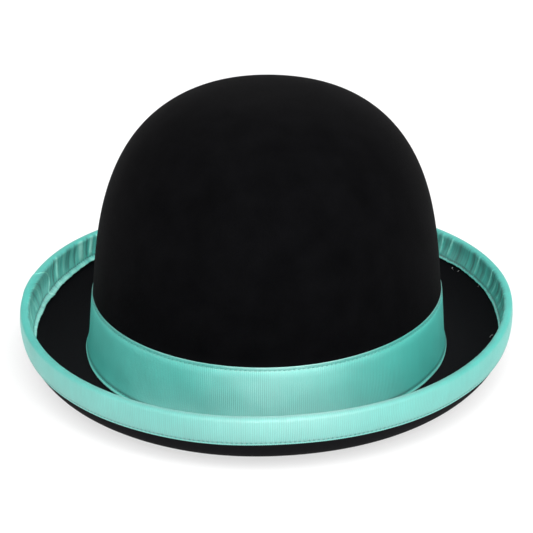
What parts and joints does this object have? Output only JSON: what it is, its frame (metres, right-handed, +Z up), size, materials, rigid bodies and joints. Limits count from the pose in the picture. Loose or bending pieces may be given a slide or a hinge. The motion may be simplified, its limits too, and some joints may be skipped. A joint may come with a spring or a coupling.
{
  "type": "bowler hat",
  "caption": "Stiff wool felt bowler hat with a domed crown, a curled bound brim and a grosgrain crown band, lined and fitted with a leather sweatband.",
  "frame": {"origin": "middle of the crown's oval, in the plane that the brim stands on", "axes": "+Z up to the top of the crown, -Y towards the front of the hat, +X towards the wearer's left"},
  "size_m": [0.2405, 0.2912, 0.132],
  "materials": {
    "felt": "matte black wool felt with a short smooth nap",
    "grosgrain": "mint green grosgrain ribbon, crosswise ribs about 1 mm apart, soft sheen",
    "ribbon_thread": "mint green polyester sewing thread",
    "sweatband_leather": "tan grained leather, satin",
    "reed_plastic": "translucent plastic cord",
    "black_tape": "black woven tape",
    "satin": "black lining satin, glossy",
    "label_tape": "white woven label tape, no lettering"
  },
  "bodies": {
    "hat": {"felt_body": "felt", "hat_band": "grosgrain", "band_top_thread": "ribbon_thread", "band_bottom_thread": "ribbon_thread", "brim_binding": "grosgrain", "binding_inner_thread": "ribbon_thread", "binding_outer_thread": "ribbon_thread", "sweatband": "sweatband_leather", "sweatband_thread": "ribbon_thread", "sweatband_welt": "black_tape", "sweatband_reed": "reed_plastic", "sweatband_join_tape": "black_tape", "sweatband_bow": "black_tape", "lining_side": "satin", "lining_tip": "satin", "lining_piping": "black_tape", "size_label": "label_tape", "care_label_hem": "label_tape"},
    "care_label": {"care_label_flap": "label_tape"}
  },
  "joints": [
    {"name": "care_label_swing", "type": "hinge", "parent": "hat", "child": "care_label", "pos_m": [0.07783, 0, 0.0378], "axis": [0, 1, 0], "range_deg": [0, 150]}
  ]
}
